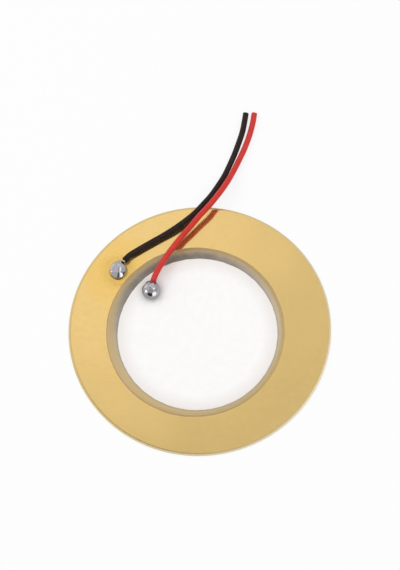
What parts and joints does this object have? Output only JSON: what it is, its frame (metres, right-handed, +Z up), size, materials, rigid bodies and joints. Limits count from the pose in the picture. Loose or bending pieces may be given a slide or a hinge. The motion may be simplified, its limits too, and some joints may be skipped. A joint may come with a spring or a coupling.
{
  "type": "piezo disc",
  "caption": "Thin brass disc with a silvered piezo-ceramic wafer bonded off centre and two short soldered leads, black from the brass and red from the electrode.",
  "frame": {"origin": "centre of the brass plate's underside", "axes": "+Z up through the plate and wafer, +Y towards the side where the leads leave, +X to the right seen from above"},
  "size_m": [0.035, 0.0478, 0.0028],
  "materials": {
    "brass": "satin rolled sheet",
    "epoxy": "clear amber, cured",
    "silver_print": "matt fired silver paste",
    "ceramic": "lapped, unglazed",
    "solder": "bright tin solder",
    "tinned_copper": "tinned strands",
    "black_insulation": "smooth vinyl",
    "red_insulation": "smooth vinyl"
  },
  "bodies": {
    "root": {"brass_plate": "brass", "bond_film": "epoxy", "lower_electrode": "silver_print", "ceramic_disc": "ceramic", "upper_electrode": "silver_print", "plate_solder": "solder", "electrode_solder": "solder", "black_conductor": "tinned_copper", "black_jacket": "black_insulation", "red_conductor": "tinned_copper", "red_jacket": "red_insulation"}
  },
  "joints": []
}
